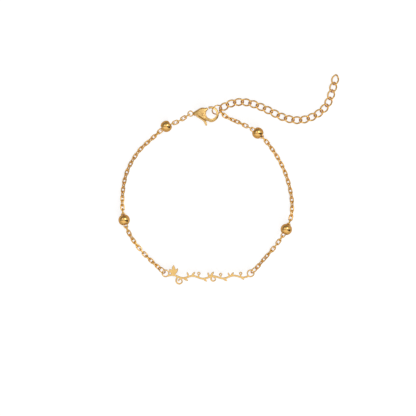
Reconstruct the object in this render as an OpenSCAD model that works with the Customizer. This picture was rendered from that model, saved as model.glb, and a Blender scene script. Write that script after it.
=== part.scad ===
// Nameplate bracelet, lying flat and fully drawn on a table.
// A cut plate hangs between two runs of fine cable chain that carry four
// polished beads. A sprung hook clasp closes it on a ring, and an extender
// chain hangs free from the same ring.
// X runs left to right, Y runs away from the plate, and Z = 0 is the table.

/* [Nameplate] */
// Distance between the centres of the plate's two end rings
plate_len = 28.1; // [24:0.1:32]
// Thickness of the plate
plate_t = 0.8; // [0.5:0.05:1]
// Width of the cut stem
stem_w = 0.6; // [0.4:0.02:0.7]
// Hole in each end ring of the plate
plate_hole_d = 1.75; // [1.6:0.05:2.2]
// Width of metal around that hole
plate_rim_w = 0.43; // [0.3:0.01:0.6]
// Number of half waves in the stem
half_waves = 8; // [6:2:10]
// Sway of the stem to each side of its middle
stem_sway = 0.4; // [0.2:0.05:0.7]
// Sag of the stem between the two end rings
stem_sag = 0.5; // [0:0.05:0.9]
// Radius of the inside corners between leaf and stem
fillet_r = 0.12; // [0.05:0.01:0.2]
// Length of the longest leaf
leaf_len = 3.4; // [2.5:0.1:4.5]
// Width of a leaf for each unit of its length
leaf_plump = 0.36; // [0.25:0.01:0.5]
// Radius of the largest tendril where it leaves the stem
tendril_r = 1.35; // [1.1:0.05:1.6]
// Diameter of a berry
berry_d = 1.1; // [0.9:0.05:1.3]

/* [Fine chain] */
// Wire of the fine chain's links
fine_wire = 0.4; // [0.3:0.01:0.44]
// Clear length inside a fine link
fine_hole_len = 1.68; // [1.5:0.01:2]
// Clearance between wires that pass through each other
play = 0.165; // [0.12:0.005:0.18]
// Roll of the links in the middle of a run, in degrees
mid_roll = 34; // [20:1:45]

/* [Beads] */
// Diameter of a bead
bead_d = 3.75; // [3.2:0.05:4.5]
// Clearance between the chain and a bead's bore, on each side
bead_play = 0.3; // [0.2:0.05:0.4]

/* [Rings] */
// Wire of the jump rings, the end ring and the clasp's eye
ring_wire = 0.4; // [0.32:0.01:0.5]
// Lean of the two jump rings out of the table's plane, in degrees
jump_tilt = 62; // [55:1:75]
// Distance from a jump ring's centre to the edge of the plate's hole
jump_reach = 0.72; // [0.6:0.01:0.9]
// Free space in the end ring beside the clasp's hook
end_ring_play = 1.05; // [0.95:0.05:1.3]

/* [Extender] */
// Wire of the extender's links
ext_wire = 0.5; // [0.4:0.01:0.55]
// Outer length of an extender link
ext_link_len = 3.75; // [3.4:0.05:4.2]
// Outer width of an extender link
ext_link_w = 2.65; // [2.5:0.05:3]
// Twist of an extender link at each end, in degrees
ext_twist = 42; // [35:1:45]

/* [Clasp] */
// Distance from the eye's centre to the centre of the hook's hole
clasp_len = 6.8; // [6.4:0.1:8]
// Thickness of the clasp at its belly
clasp_t = 3; // [2.8:0.05:3.4]
// Thickness of the hook beside its ring
hook_t = 0.85; // [0.7:0.05:1]
// Radius of the hook's hole
hook_hole_r = 1.73; // [1.6:0.01:1.9]
// Radius of the hook's outside
hook_out_r = 2.62; // [2.5:0.01:2.8]
// Radius of the belly where the lever turns
belly_r = 2.15; // [2:0.05:2.4]
// Radius of the neck between belly and eye
neck_r = 0.75; // [0.6:0.05:0.9]
// Clear radius inside the eye
eye_hole_r = 0.65; // [0.6:0.01:0.8]
// Thickness of the lever
lever_t = 1; // [0.8:0.05:1.2]
// Clearance around the lever
lever_play = 0.14; // [0.12:0.01:0.2]
// Diameter of the lever's pin
pin_d = 0.7; // [0.5:0.05:0.9]
// Clearance of the pin in the lever, on the radius
pin_run = 0.05; // [0.03:0.01:0.08]
// Clearance of the pin in the clasp's cheeks, on the radius
pin_seat = 0.02; // [0.01:0.01:0.03]

/* [Hidden] */
$fn = 48;
gold = [0.86, 0.68, 0.36];

// Where the bracelet lies on the table, chosen by hand. The chains run
// through these points, and the marked rows are where the beads sit. A bead's
// tilt is how far its bore dips along the chain, in degrees.
PLATE_AT = [-6.9, -31.1];
HOOK_AT = [-5.9, 21.6];
LEFT_ROUTE = [[-28, -24.7], [-32.2, -19.3], [-34.6, -13.5], [-35.2, -5.8], [-33.8, 2.2],
              [-30, 9], [-25.3, 13.5], [-20.7, 17.4], [-16.8, 19]];
LEFT_BEADS = [3, 8];
LEFT_TILTS = [11, -5];
RIGHT_ROUTE = [[-0.8, 20.5], [3.7, 18.5], [9.5, 15.2], [14.4, 9.7], [18.3, 2.8], [20.5, -4.9],
               [20.7, -11.3], [18.9, -16.6], [15.4, -22], [11.6, -26.4]];
RIGHT_BEADS = [3, 8];
RIGHT_TILTS = [-6, -11];
EXTENDER_ROUTE = [[0.2, 24.9], [4.2, 25.6], [8.2, 24.8], [13.2, 22.7], [17.9, 20.4], [23.1, 19.4],
                  [28.3, 20.9], [32.3, 24.2], [34, 28.7], [35.4, 34.1]];

// Headings on the table, in degrees
LEFT_RING_HEADING = 140;
RIGHT_RING_HEADING = 43;
END_RING_BEARING = 34;
// Places on the end ring, in degrees round from its far side
EXTENDER_PLACE = -22;
CHAIN_PLACE = -66;

// Ornament of the plate. The first column is the place along the stem in half waves.
PLACE = 0;
ANGLE = 1;
SIZE = 2;
// Leaves: place, angle, length as a share of leaf_len
LEAVES = [[0.62, 92, 1], [0.58, 56, 0.8], [0.66, 128, 0.8], [1.55, -30, 0.56], [2.1, 112, 0.5],
          [2.35, 48, 0.56], [3.5, -34, 0.5], [4.2, 54, 0.62], [4.12, 108, 0.5], [5.45, -30, 0.52],
          [6.2, 50, 0.52], [6.12, 112, 0.44], [7.2, -36, 0.44]];
// Tendrils: place, start angle, radius as a share of tendril_r, side of the curl, whole turn
SIDE = 3;
TURN = 4;
TENDRILS = [[1.1, -165, 1, 1, 410], [4.4, -150, 0.72, 1, 300]];
// Berries on short stalks: place, angle, stalk length as a share of leaf_len
BERRIES = [[3.05, 84, 0.24], [5.25, 92, 0.2], [7.2, 88, 0.2]];

// Sizes that follow from the ones above
fine_hole_w = max(fine_wire, ring_wire) + 2 * play;
fine_len = fine_hole_len + 2 * fine_wire;
fine_w = fine_hole_w + 2 * fine_wire;
fine_pitch = fine_hole_len - play;
fine_rest_z = fine_w / 2 + play / 4;
bead_bore_d = fine_w + 2 * bead_play;
ext_pitch = ext_link_len - 2 * ext_wire - play;

RING_SLACK = 1.4;
jump_in_r = norm([jump_reach, plate_t / 2 / sin(jump_tilt)]) + RING_SLACK * play;
jump_r = jump_in_r + ring_wire / 2;
jump_z = jump_r * sin(jump_tilt) + ring_wire / 2;
plate_z = jump_z - plate_t / 2;

eye_r = eye_hole_r + ring_wire / 2;
eye_at = [-clasp_len, 0];
neck_at = eye_at + [eye_r + neck_r, 0];
belly_at = [-0.4 * clasp_len, -0.02 * clasp_len];
pivot_at = belly_at + [-0.15, -0.15];
hook_shift = [-0.1, -0.2];

// The end ring hangs a share of its radius outside the hook's bar. It leans until its
// wire clears the hook's faces over the hole's edge, BAR_SPAN degrees off its bearing.
END_RING_OFF = 0.15;
BAR_SPAN = 45;
HOOK_SLACK = 1.2;
end_ring_r = hook_t / 2 + end_ring_play + ring_wire / 2;
bar_mid_r = (hook_hole_r + hook_edge(END_RING_BEARING)) / 2;
end_ring_out = bar_mid_r + END_RING_OFF * end_ring_r;
end_ring_tilt = asin((hook_t / 2 + ring_wire / 2 + HOOK_SLACK * play)
    / sqrt(pow(end_ring_r, 2) - pow(end_ring_out - hook_hole_r * cos(BAR_SPAN), 2)));
clasp_z = max(clasp_t / 2, fine_rest_z - end_ring_r * sin(CHAIN_PLACE) * sin(end_ring_tilt));
end_ring_at = flat(HOOK_AT, clasp_z) + end_ring_out * heading(END_RING_BEARING);

// Vectors and lists
function flat(p, z) = [p.x, p.y, z];
function heading(a) = [cos(a), sin(a), 0];
function unit(v) = v / norm(v);
function at_angle(r, a) = [r * cos(a), r * sin(a)];
function wrap(a) = a - 180 * round(a / 180);
function fade(t) = abs(t) < 1 ? (1 + cos(180 * t)) / 2 : 0;
function last(list) = list[len(list) - 1];
function sum(list, i = 0) = i < len(list) ? list[i] + sum(list, i + 1) : 0;

// Distance from the centre of the hook's hole to its outside, on a bearing
function hook_edge(a) =
    let (e = at_angle(1, a), along = e * hook_shift)
    along + sqrt(pow(hook_out_r, 2) - hook_shift * hook_shift + along * along);

// A leaning ring: its two in-plane directions, and a point or a tangent on it
function lean(h, tilt) = cos(tilt) * heading(h + 90) + sin(tilt) * [0, 0, 1];
function on_ring(at, h, tilt, r, a) = at + r * (cos(a) * heading(h) + sin(a) * lean(h, tilt));
function ring_tangent(h, tilt, a) = cos(a) * lean(h, tilt) - sin(a) * heading(h);

// Smooth curve through a list of points
STEPS = 20;
function between(a, b, c, d, t) =
    0.5 * (2 * b + (c - a) * t + (2 * a - 5 * b + 4 * c - d) * t * t
    + (3 * b - a - 3 * c + d) * t * t * t);
function smooth(pts) =
    let (n = len(pts) - 1)
    concat([for (i = [0:n - 1], k = [0:STEPS - 1])
        between(pts[max(i - 1, 0)], pts[i], pts[i + 1], pts[min(i + 2, n)], k / STEPS)],
        [pts[n]]);
function run_so_far(path) =
    let (n = len(path) - 1)
    [for (i = 0, s = 0; i <= n; s = s + norm(path[min(i + 1, n)] - path[i]), i = i + 1) s];

// Raises a flat curve over its rises, each with a place, a height and a level half length
RISE_LEN = 7;
function raised(path, runs, rest, rises) =
    [for (i = [0:len(path) - 1])
        flat(path[i], rest + sum([for (r = rises)
            (r[1] - rest) * fade(max(abs(runs[i] - r[0]) - r[2], 0) / RISE_LEN)]))];

// Points at equal steps along a curve, no further apart than the pitch
function joints(path, pitch) =
    let (runs = run_so_far(path), whole = last(runs), count = ceil(whole / pitch))
    [for (k = [0:count]) [for (axis = [0:2])
        lookup(whole * k / count, [for (i = [0:len(path) - 1]) [runs[i], path[i][axis]]])]];

// Roll that turns a link heading along d square to a wire heading along w
function roll_across(d, w) =
    let (normal = unit(w - (w * d) * d), wide = cross(normal, d),
         side = unit(cross([0, 0, 1], d)))
    atan2(wide * cross(d, side), wide * side);

// Ends of the chains: each first joint lies beside the wire that the link
// hooks on, on the side away from the chain
function jump_ring_at(h, sign) =
    flat(PLATE_AT + [sign * plate_len / 2, 0], jump_z)
    + (plate_hole_d / 2 + jump_reach) * heading(h);
function hooked(wire_at, next) =
    wire_at - (ring_wire + play) / 2 * unit(flat(next, wire_at.z) - wire_at);
function end_ring_wire(a) = on_ring(end_ring_at, END_RING_BEARING, end_ring_tilt, end_ring_r, a);
eye_centre = flat(HOOK_AT + eye_at, clasp_z);
eye_heading = atan2(last(LEFT_ROUTE).y - eye_centre.y, last(LEFT_ROUTE).x - eye_centre.x);
left_start = hooked(jump_ring_at(LEFT_RING_HEADING, -1) + jump_r * heading(LEFT_RING_HEADING),
    LEFT_ROUTE[0]);
left_end = hooked(eye_centre + eye_r * heading(eye_heading), last(LEFT_ROUTE));
right_start = hooked(end_ring_wire(CHAIN_PLACE), RIGHT_ROUTE[0]);
right_end = hooked(jump_ring_at(RIGHT_RING_HEADING, 1) + jump_r * heading(RIGHT_RING_HEADING),
    last(RIGHT_ROUTE));
extender_start = hooked(end_ring_wire(EXTENDER_PLACE), EXTENDER_ROUTE[0]);

// The left chain's curve, heights and joints, then the right chain's and the extender's
left_flat = smooth(concat([[left_start.x, left_start.y]], LEFT_ROUTE, [[left_end.x, left_end.y]]));
left_runs = run_so_far(left_flat);
left_path = raised(left_flat, left_runs, fine_rest_z,
    concat([[0, left_start.z, 0]], [for (b = LEFT_BEADS) bead_rise(left_runs, b)],
        [[last(left_runs), left_end.z, 0]]));
left_joints = joints(left_path, fine_pitch);

right_flat = smooth(concat([[right_start.x, right_start.y]], RIGHT_ROUTE,
    [[right_end.x, right_end.y]]));
right_runs = run_so_far(right_flat);
right_path = raised(right_flat, right_runs, fine_rest_z,
    concat([[0, right_start.z, 0]], [for (b = RIGHT_BEADS) bead_rise(right_runs, b)],
        [[last(right_runs), right_end.z, 0]]));
right_joints = joints(right_path, fine_pitch);

ext_ring_a = (ext_link_len - ext_wire) / 2;
ext_ring_b = (ext_link_w - ext_wire) / 2;
ext_rest_z = ext_ring_b * max([for (t = [0:5:90]) sin(t) * sin(ext_twist * cos(t))]) + ext_wire / 2;
ext_flat = smooth(concat([[extender_start.x, extender_start.y]], EXTENDER_ROUTE));
ext_path = raised(ext_flat, run_so_far(ext_flat), ext_rest_z, [[0, extender_start.z, 0]]);
ext_joints = joints(ext_path, ext_pitch);

function bead_rise(runs, row) = [runs[row * STEPS], bead_d / 2, bead_d / 2];

// Roll of each link: set by the wire at both ends, near level at the beads
OPEN_LEN = 7;
END_LEN = 15;
function rolls(pts, first_wire, last_wire, runs, beads) =
    let (n = len(pts) - 1, whole = last(runs),
         first_roll = wrap(roll_across(unit(pts[1] - pts[0]), first_wire)),
         last_roll = wrap(roll_across(unit(pts[n] - pts[n - 1]), last_wire) - 90 * (n - 1)))
    [for (k = [0:n - 1])
        let (s = whole * (k + 0.5) / n, g = fade(s / END_LEN), h = fade((whole - s) / END_LEN),
             open = min([for (b = beads) 1 - fade((s - runs[b * STEPS]) / OPEN_LEN)]))
        90 * k + g * first_roll + h * last_roll + (1 - g - h) * open * mid_roll];

// Moves its child from the origin, lying along X, to the stretch between two points
module along(a, b, roll = 0) {
    d = b - a;
    translate((a + b) / 2)
        rotate([0, -asin(d.z / norm(d)), atan2(d.y, d.x)])
            rotate([roll, 0, 0]) children();
}

// Closed ring of round wire in the plane of X and Y
module wire_ring(r, wire) {
    rotate_extrude() translate([r, 0]) circle(d = wire);
}

// Oval link of round wire, lying along X
module oval_link(len, wide, wire) {
    bow_r = (wide - wire) / 2;
    side = len - wide;
    for (end = [-1, 1]) {
        translate([end * side / 2, 0, 0])
            rotate([0, 0, -end * 90])
                rotate_extrude(angle = 180) translate([bow_r, 0]) circle(d = wire);
        translate([-side / 2, end * bow_r, 0])
            rotate([0, 90, 0]) cylinder(d = wire, h = side);
    }
}

// Twisted link of the extender: an oval ring of wire, rolled one way at one
// end and the other way at the other end
LINK_RINGS = 16;
WIRE_SIDES = 6;
function twisted_point(t) =
    let (r = ext_ring_b * sin(t), roll = ext_twist * cos(t))
    [ext_ring_a * cos(t), r * cos(roll), r * sin(roll)];
function twisted_frame(t) =
    let (p = twisted_point(t), along = unit(twisted_point(t + 1) - twisted_point(t - 1)),
         out = unit(p - (p * along) * along))
    [p, out, cross(along, out)];
module twisted_link() {
    points = [for (i = [0:LINK_RINGS - 1], j = [0:WIRE_SIDES - 1])
        let (f = twisted_frame(360 * i / LINK_RINGS), a = 360 * j / WIRE_SIDES)
        f[0] + ext_wire / 2 * (cos(a) * f[1] + sin(a) * f[2])];
    function corner(i, j) = (i % LINK_RINGS) * WIRE_SIDES + j % WIRE_SIDES;
    faces = [for (i = [0:LINK_RINGS - 1], j = [0:WIRE_SIDES - 1], half = [0, 1])
        half == 0 ? [corner(i, j), corner(i + 1, j + 1), corner(i, j + 1)]
                  : [corner(i, j), corner(i + 1, j), corner(i + 1, j + 1)]];
    polyhedron(points, faces);
}

module chain_left() {
    turns = rolls(left_joints, ring_tangent(LEFT_RING_HEADING, jump_tilt, 0),
        heading(eye_heading + 90), left_runs, LEFT_BEADS);
    color(gold) for (k = [0:len(turns) - 1])
        along(left_joints[k], left_joints[k + 1], turns[k])
            oval_link(fine_len, fine_w, fine_wire);
}

module chain_right() {
    turns = rolls(right_joints, ring_tangent(END_RING_BEARING, end_ring_tilt, CHAIN_PLACE),
        ring_tangent(RIGHT_RING_HEADING, jump_tilt, 0), right_runs, RIGHT_BEADS);
    color(gold) for (k = [0:len(turns) - 1])
        along(right_joints[k], right_joints[k + 1], turns[k])
            oval_link(fine_len, fine_w, fine_wire);
}

module extender_chain() {
    color(gold) for (k = [0:len(ext_joints) - 2])
        along(ext_joints[k], ext_joints[k + 1]) twisted_link();
}

module jump_ring(h, sign) {
    color(gold) translate(jump_ring_at(h, sign))
        rotate([0, 0, h]) rotate([jump_tilt, 0, 0]) wire_ring(jump_r, ring_wire);
}

module jump_ring_left() {
    jump_ring(LEFT_RING_HEADING, -1);
}

module jump_ring_right() {
    jump_ring(RIGHT_RING_HEADING, 1);
}

module end_ring() {
    color(gold) translate(end_ring_at)
        rotate([0, 0, END_RING_BEARING]) rotate([end_ring_tilt, 0, 0])
            wire_ring(end_ring_r, ring_wire);
}

// Drilled bead on a row of a chain's route
module bead(path, row, tilt) {
    here = path[row * STEPS];
    ahead = path[row * STEPS + 1] - path[row * STEPS - 1];
    color(gold) translate([here.x, here.y, bead_d / 2])
        rotate([0, 0, atan2(ahead.y, ahead.x)]) rotate([0, 90 + tilt, 0])
            rotate_extrude() difference() {
                circle(d = bead_d);
                translate([-bead_d, -bead_d]) square([bead_d + bead_bore_d / 2, 2 * bead_d]);
            }
}

// Two circles and all that lies between them
module taper(a, ra, b, rb) {
    hull() {
        translate(a) circle(ra, $fn = 32);
        translate(b) circle(rb, $fn = 32);
    }
}

// Wedge from a corner between two angles
module wedge(from, r, a0, a1) {
    polygon([from, from + at_angle(r, a0), from + at_angle(r, (a0 + a1) / 2),
             from + at_angle(r, a1)]);
}

// Stroke of the cutter along a list of points, from one width to another
module stroke(pts, from_w, to_w) {
    n = len(pts) - 1;
    function side(i, s) =
        let (d = unit(pts[min(i + 1, n)] - pts[max(i - 1, 0)]), w = from_w + (to_w - from_w) * i / n)
        pts[i] + s * w / 2 * [-d.y, d.x];
    polygon(concat([for (i = [0:n]) side(i, 1)], [for (i = [n:-1:0]) side(i, -1)]));
}

// The stem meets each end ring below its middle, by a share of the ring's radius
WAVE_STEPS = 20;
STEM_LOW = 0.8;
rim_mid_r = (plate_hole_d + plate_rim_w) / 2;
stem_drop = STEM_LOW * rim_mid_r;
stem_from = -plate_len / 2 + sqrt(pow(rim_mid_r, 2) - pow(stem_drop, 2));
// The stem's place after a number of half waves
function stem_at(u) =
    [stem_from * (1 - 2 * u / half_waves),
     stem_sway * sin(180 * u) - stem_drop - stem_sag * sin(180 * u / half_waves)];

module stem() {
    stroke([for (k = [0:half_waves * WAVE_STEPS]) stem_at(k / WAVE_STEPS)], stem_w, stem_w);
}

// Pointed leaf along X, between two round sides
module leaf(len) {
    wide = leaf_plump * len;
    side_r = (len * len + wide * wide) / (4 * wide);
    intersection() {
        translate([len / 2, side_r - wide / 2]) circle(side_r, $fn = 96);
        translate([len / 2, wide / 2 - side_r]) circle(side_r, $fn = 96);
    }
}

// Curl that starts along X, loses a share of its radius with each degree and
// ends in a dot. Its stroke grows thinner towards the dot.
CURL_LOSS = 0.0017;
CURL_END_W = 0.5 * stem_w;
CURL_DOT_R = 0.45 * stem_w;
function curl_at(r, side, a) =
    let (here = r * (1 - CURL_LOSS * a)) [here * sin(a), side * (r - here * cos(a))];
module tendril(r, side, turn) {
    stroke([for (a = [0:10:turn]) curl_at(r, side, a)], stem_w, CURL_END_W);
    translate(curl_at(r, side, turn)) circle(CURL_DOT_R);
}

// Pierced berry on a stalk along X
STALK_W = 0.8 * stem_w;
STALK_SINK = 0.2 * berry_d;
BERRY_HOLE_D = 0.36 * berry_d;
module berry(stalk) {
    translate([0, -STALK_W / 2]) square([stalk + STALK_SINK, STALK_W]);
    translate([stalk + berry_d / 2, 0])
        difference() {
            circle(d = berry_d);
            circle(d = BERRY_HOLE_D);
        }
}

module nameplate() {
    color(gold) translate(flat(PLATE_AT, plate_z))
        linear_extrude(plate_t)
            difference() {
                offset(r = -fillet_r, $fn = 24) offset(delta = fillet_r) {
                    for (end = [-1, 1])
                        translate([end * plate_len / 2, 0])
                            circle(plate_hole_d / 2 + plate_rim_w);
                    stem();
                    for (row = LEAVES)
                        translate(stem_at(row[PLACE])) rotate(row[ANGLE]) leaf(row[SIZE] * leaf_len);
                    for (row = TENDRILS)
                        translate(stem_at(row[PLACE])) rotate(row[ANGLE])
                            tendril(row[SIZE] * tendril_r, row[SIDE], row[TURN]);
                    for (row = BERRIES)
                        translate(stem_at(row[PLACE])) rotate(row[ANGLE]) berry(row[SIZE] * leaf_len);
                }
                for (end = [-1, 1])
                    translate([end * plate_len / 2, 0]) circle(d = plate_hole_d);
            }
}

// The clasp is drawn about the centre of the hook's hole, with the eye at
// minus X and its middle plane at Z = 0.
// Half thickness along the clasp: place as a share of clasp_len, and how
// far the half thickness has grown from the hook's to the belly's
BULGE = [[-1, 0.02], [-0.9, 0.08], [-0.78, 0.35], [-0.64, 0.78], [-0.52, 0.95], [-0.4, 1], [-0.28, 0.9],
         [-0.17, 0.62], [-0.06, 0.3], [0.04, 0.1], [0.14, 0.03], [0.28, 0], [0.46, -0.12]];
function bulge_z(row) = hook_t / 2 + (clasp_t - hook_t) / 2 * row[1];

// The jaw between the hook's tip and the cheeks, in degrees round the hole.
// The tip's end face follows the gate's sweep about the pin.
JAW_FROM = 113;
JAW_MID = 119;
JAW_TO = 125;
TIP_SPAN = 12;
tip_reach = norm(at_angle(hook_hole_r, JAW_FROM) - pivot_at);

// The lever, from the pin: heel, tab and gate
LEVER_OPEN = 25;
GATE_FROM = 36;
GATE_TO = 66;
gate_reach = tip_reach - lever_play;
heel_at = [-1.75, -0.5];
heel_r = 0.33;
tab_root_at = [0.72, -1.86];
tab_tip_at = [1.25, -3.4];
tab_root_r = 0.48;
tab_tip_r = 0.3;
hub_r = 0.95;
corner_r = 0.1;

// Room between the cheeks, from the pin: round the hub, for the gate and for the tab
hub_room_r = 1.85 * hub_r;
GATE_ROOM = [[-0.5, 1.2], [0.7, 3.1]];
TAB_ROOM_FROM = -114;
TAB_ROOM_TO = -46;
// Part of the cheeks left off beside the tab, from the pin
TAB_CUT = [[-1.9, -0.07], [1.95, -2.56], [1.95, -4], [-2.3, -4], [-2.3, -0.5]];

module hook_disc() {
    translate(hook_shift) circle(hook_out_r);
}

module clasp_outline() {
    taper(neck_at, neck_r, belly_at, belly_r);
    hook_disc();
}

// Space that the lever sweeps between the two cheeks
module lever_slot() {
    translate(pivot_at) circle(hub_room_r);
    for (turn = [0, LEVER_OPEN / 2, LEVER_OPEN])
        translate(pivot_at) rotate(-turn)
            taper([0, 0], hub_r + lever_play, heel_at, heel_r + lever_play);
    polygon([pivot_at, pivot_at + GATE_ROOM[0], pivot_at + GATE_ROOM[1],
             at_angle(1.2 * hook_out_r, JAW_MID), [0, 0]]);
    wedge(pivot_at, 2 * belly_r, TAB_ROOM_FROM, TAB_ROOM_TO);
}

module clasp_body() {
    reach = 2 * clasp_len;
    color(gold) translate(flat(HOOK_AT, clasp_z)) {
        difference() {
            intersection() {
                translate([0, 0, -clasp_t]) linear_extrude(2 * clasp_t) clasp_outline();
                translate([0, belly_r * 2, 0]) rotate([90, 0, 0]) linear_extrude(4 * belly_r)
                    polygon(concat([for (row = BULGE) [row[0] * clasp_len, bulge_z(row)]],
                        [for (i = [len(BULGE) - 1:-1:0]) [BULGE[i][0] * clasp_len, -bulge_z(BULGE[i])]]));
            }
            translate([0, 0, -clasp_t]) linear_extrude(2 * clasp_t) {
                circle(hook_hole_r);
                wedge([0, 0], reach, JAW_FROM, JAW_TO);
                intersection() {
                    translate(pivot_at) circle(tip_reach);
                    wedge([0, 0], reach, JAW_FROM - TIP_SPAN, JAW_TO);
                }
                translate(pivot_at) polygon(TAB_CUT);
            }
            linear_extrude(lever_t + 2 * lever_play, center = true) lever_slot();
            translate(pivot_at)
                cylinder(d = pin_d + 2 * pin_seat, h = 2 * clasp_t, center = true);
        }
        translate(eye_at) wire_ring(eye_r, ring_wire);
    }
}

module clasp_lever() {
    color(gold) translate(flat(HOOK_AT, clasp_z))
        difference() {
            linear_extrude(lever_t, center = true)
                difference() {
                    offset(r = corner_r, $fn = 24) offset(delta = -corner_r) {
                        translate(pivot_at) {
                            circle(hub_r);
                            taper([0, 0], hub_r, heel_at, heel_r);
                            taper(heel_at, heel_r, tab_root_at, tab_root_r);
                            taper([0, 0], hub_r, tab_root_at, tab_root_r);
                            taper(tab_root_at, tab_root_r, tab_tip_at, tab_tip_r);
                        }
                        intersection() {
                            translate(pivot_at) circle(gate_reach);
                            hook_disc();
                            wedge(pivot_at, 2 * gate_reach, GATE_FROM, GATE_TO);
                        }
                    }
                    circle(hook_hole_r);
                }
            translate(pivot_at)
                cylinder(d = pin_d + 2 * pin_run, h = 2 * lever_t, center = true);
        }
}

// The pin ends just below the cheeks' faces
PIN_SINK = 0.06;
module clasp_pin() {
    color(gold) translate(flat(HOOK_AT, clasp_z)) translate(pivot_at)
        cylinder(d = pin_d, h = clasp_t - 2 * PIN_SINK, center = true);
}

module bead_1() {
    bead(left_path, LEFT_BEADS[0], LEFT_TILTS[0]);
}

module bead_2() {
    bead(left_path, LEFT_BEADS[1], LEFT_TILTS[1]);
}

module bead_3() {
    bead(right_path, RIGHT_BEADS[0], RIGHT_TILTS[0]);
}

module bead_4() {
    bead(right_path, RIGHT_BEADS[1], RIGHT_TILTS[1]);
}

nameplate();
jump_ring_left();
jump_ring_right();
end_ring();
clasp_body();
clasp_lever();
clasp_pin();
bead_1();
bead_2();
bead_3();
bead_4();
chain_left();
chain_right();
extender_chain();
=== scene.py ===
# %% [markdown]
# # A nameplate bracelet in polished gold
# The bracelet lies flat on a pale table and is seen from straight above. Its solids come from a packed
# model in metres, which fixes where each part is. This script gives every part the smooth surface and the
# polished metal that the real one has, and it never moves a part. Each new surface is worked out with
# numpy from a formula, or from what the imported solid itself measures.

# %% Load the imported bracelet
import bpy
import numpy as np
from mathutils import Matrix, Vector
from mathutils.geometry import delaunay_2d_cdt


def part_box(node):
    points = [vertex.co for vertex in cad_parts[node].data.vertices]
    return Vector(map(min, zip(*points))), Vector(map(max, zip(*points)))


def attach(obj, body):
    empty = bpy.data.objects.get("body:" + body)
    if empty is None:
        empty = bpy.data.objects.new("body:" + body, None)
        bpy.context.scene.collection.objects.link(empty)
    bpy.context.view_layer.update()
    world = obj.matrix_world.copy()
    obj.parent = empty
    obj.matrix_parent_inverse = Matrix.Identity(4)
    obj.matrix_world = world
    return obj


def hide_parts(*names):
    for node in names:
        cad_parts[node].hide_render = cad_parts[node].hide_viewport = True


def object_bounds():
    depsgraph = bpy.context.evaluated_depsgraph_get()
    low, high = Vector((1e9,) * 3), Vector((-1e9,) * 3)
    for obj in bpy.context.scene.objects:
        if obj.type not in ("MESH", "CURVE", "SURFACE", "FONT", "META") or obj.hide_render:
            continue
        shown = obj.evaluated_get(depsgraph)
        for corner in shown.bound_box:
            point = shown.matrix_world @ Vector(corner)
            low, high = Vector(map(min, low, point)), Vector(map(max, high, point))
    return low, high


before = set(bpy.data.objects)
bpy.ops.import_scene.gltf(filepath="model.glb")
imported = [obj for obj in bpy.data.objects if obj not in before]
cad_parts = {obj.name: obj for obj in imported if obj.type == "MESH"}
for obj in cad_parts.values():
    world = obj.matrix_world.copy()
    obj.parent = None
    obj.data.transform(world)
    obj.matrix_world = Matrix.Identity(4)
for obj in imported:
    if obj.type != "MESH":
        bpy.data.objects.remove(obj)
cad_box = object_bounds()
MM = 0.001
print("parts:", ", ".join(sorted(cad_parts)))
print("box in mm:", [[round(v / MM, 2) for v in corner] for corner in cad_box])

# %% [markdown]
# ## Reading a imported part
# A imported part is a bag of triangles. Corners that share a place are joined first. A chain is many loose
# links in one part, so each corner then takes the lowest number that it can reach along the edges, and
# corners with one number make one link. The places of the links could be typed in again, but reading them
# from the part keeps every link where it is, even after the part changes.


# %% Split a part into its loose solids
def corners_and_triangles(part):
    """Joined corners and the triangles between them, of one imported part."""
    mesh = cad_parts[part].data
    mesh.calc_loop_triangles()
    spots = np.empty(len(mesh.vertices) * 3)
    mesh.vertices.foreach_get("co", spots)
    triangles = np.empty(len(mesh.loop_triangles) * 3, int)
    mesh.loop_triangles.foreach_get("vertices", triangles)
    spots, merged = np.unique(np.round(spots.reshape(-1, 3), 8), axis=0, return_inverse=True)
    triangles = merged.reshape(-1)[triangles].reshape(-1, 3)
    flat = (triangles == np.roll(triangles, 1, axis=1)).any(axis=1)
    return spots, triangles[~flat]


def solids(part):
    """Each loose solid of a part, as the three corners of each of its triangles."""
    spots, triangles = corners_and_triangles(part)
    label = np.arange(len(spots))
    while True:
        lowest = label[triangles].min(axis=1)
        spread = label.copy()
        np.minimum.at(spread, triangles, lowest[:, None])
        spread = spread[spread]
        if (spread == label).all():
            break
        label = spread
    owner = label[triangles[:, 0]]
    return [spots[triangles[owner == name]] for name in np.unique(owner)]


print("left chain:", len(solids("chain_left")), "links")

# %% [markdown]
# A link's own directions come from how its surface is spread: longest along its length, next across it,
# and least through its thickness. A ring spreads evenly in its plane, so its axis is the odd direction out.


# %% Find a solid's centre and its own directions
def lie_of(corners):
    """Centre, directions (rows, widest spread first) and spreads of a solid's surface. A triangle of area A
    adds A / 12 times the sum of the squares of its corners' offsets and the square of their sum."""
    middle = corners.mean(axis=1)
    sides = corners[:, 1:] - corners[:, :1]
    area = np.linalg.norm(np.cross(sides[:, 0], sides[:, 1]), axis=1) / 2
    centre = (middle * area[:, None]).sum(axis=0) / area.sum()
    off = corners - centre
    total = off.sum(axis=1)
    spread = np.einsum("n,nki,nkj->ij", area, off, off) + np.einsum("n,ni,nj->ij", area, total, total)
    spread /= 12 * area.sum()
    sizes, directions = np.linalg.eigh(spread)
    rows = directions.T[::-1]
    rows[2] = np.cross(rows[0], rows[1])
    return centre, rows, sizes[::-1]


centre, rows, sizes = lie_of(solids("chain_left")[0])
print("its first link lies at", np.round(centre / MM, 2), "mm and points along", np.round(rows[0], 2))

# %% [markdown]
# ## Making a piece
# A surface is a grid of corners, joined by quads in rows that may close on themselves. Modifiers could
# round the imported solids, but a surface that follows a formula is smooth at once and has even faces. One
# function turns corners and faces into an object that rides on the bracelet and stands for its packed
# part. It notes which finish the piece takes, and prints the volume inside it, which is below zero if the
# faces point inwards.


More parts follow.
